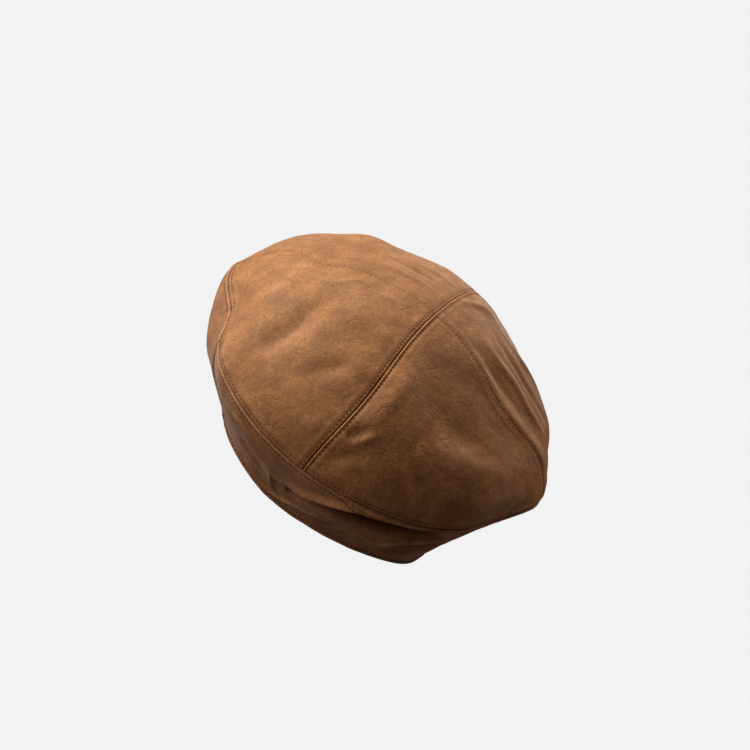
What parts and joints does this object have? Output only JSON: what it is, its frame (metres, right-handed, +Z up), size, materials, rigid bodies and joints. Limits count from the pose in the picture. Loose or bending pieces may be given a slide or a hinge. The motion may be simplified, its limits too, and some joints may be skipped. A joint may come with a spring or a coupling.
{
  "type": "leather cap",
  "caption": "Soft leather cap with a domed panelled crown, topstitched seams, a deep tapering side band, a fabric lining and a leather sweatband.",
  "frame": {"origin": "centre of the cap's bounding box, at the level of the hem it stands on", "axes": "+Z up out of the crown, -Y towards the front end of the main seam, +X to the right"},
  "size_m": [0.264, 0.264, 0.1391],
  "materials": {
    "crown_leather": "matt brown nubuck with a mottled pull-up tone",
    "band_leather": "matt brown nubuck",
    "sweatband": "smooth dark brown leather",
    "lining": "dark brown woven lining",
    "thread": "brown sewing thread, a little darker than the leather"
  },
  "bodies": {
    "root": {"crown_panel_front_left": "crown_leather", "crown_panel_front_right": "crown_leather", "crown_panel_back_left": "crown_leather", "crown_panel_back_right": "crown_leather", "side_band_left": "band_leather", "side_band_right": "band_leather", "sweatband": "sweatband", "lining_crown_front_left": "lining", "lining_crown_front_right": "lining", "lining_crown_back_left": "lining", "lining_crown_back_right": "lining", "lining_side": "lining", "thread_main_left": "thread", "thread_main_right": "thread", "thread_cross_front_left": "thread", "thread_cross_front_right": "thread", "thread_cross_back_left": "thread", "thread_cross_back_right": "thread", "thread_rim_upper": "thread", "thread_rim_lower": "thread", "thread_front_seam_left": "thread", "thread_front_seam_right": "thread", "thread_back_seam_left": "thread", "thread_back_seam_right": "thread", "thread_hem": "thread"}
  },
  "joints": []
}
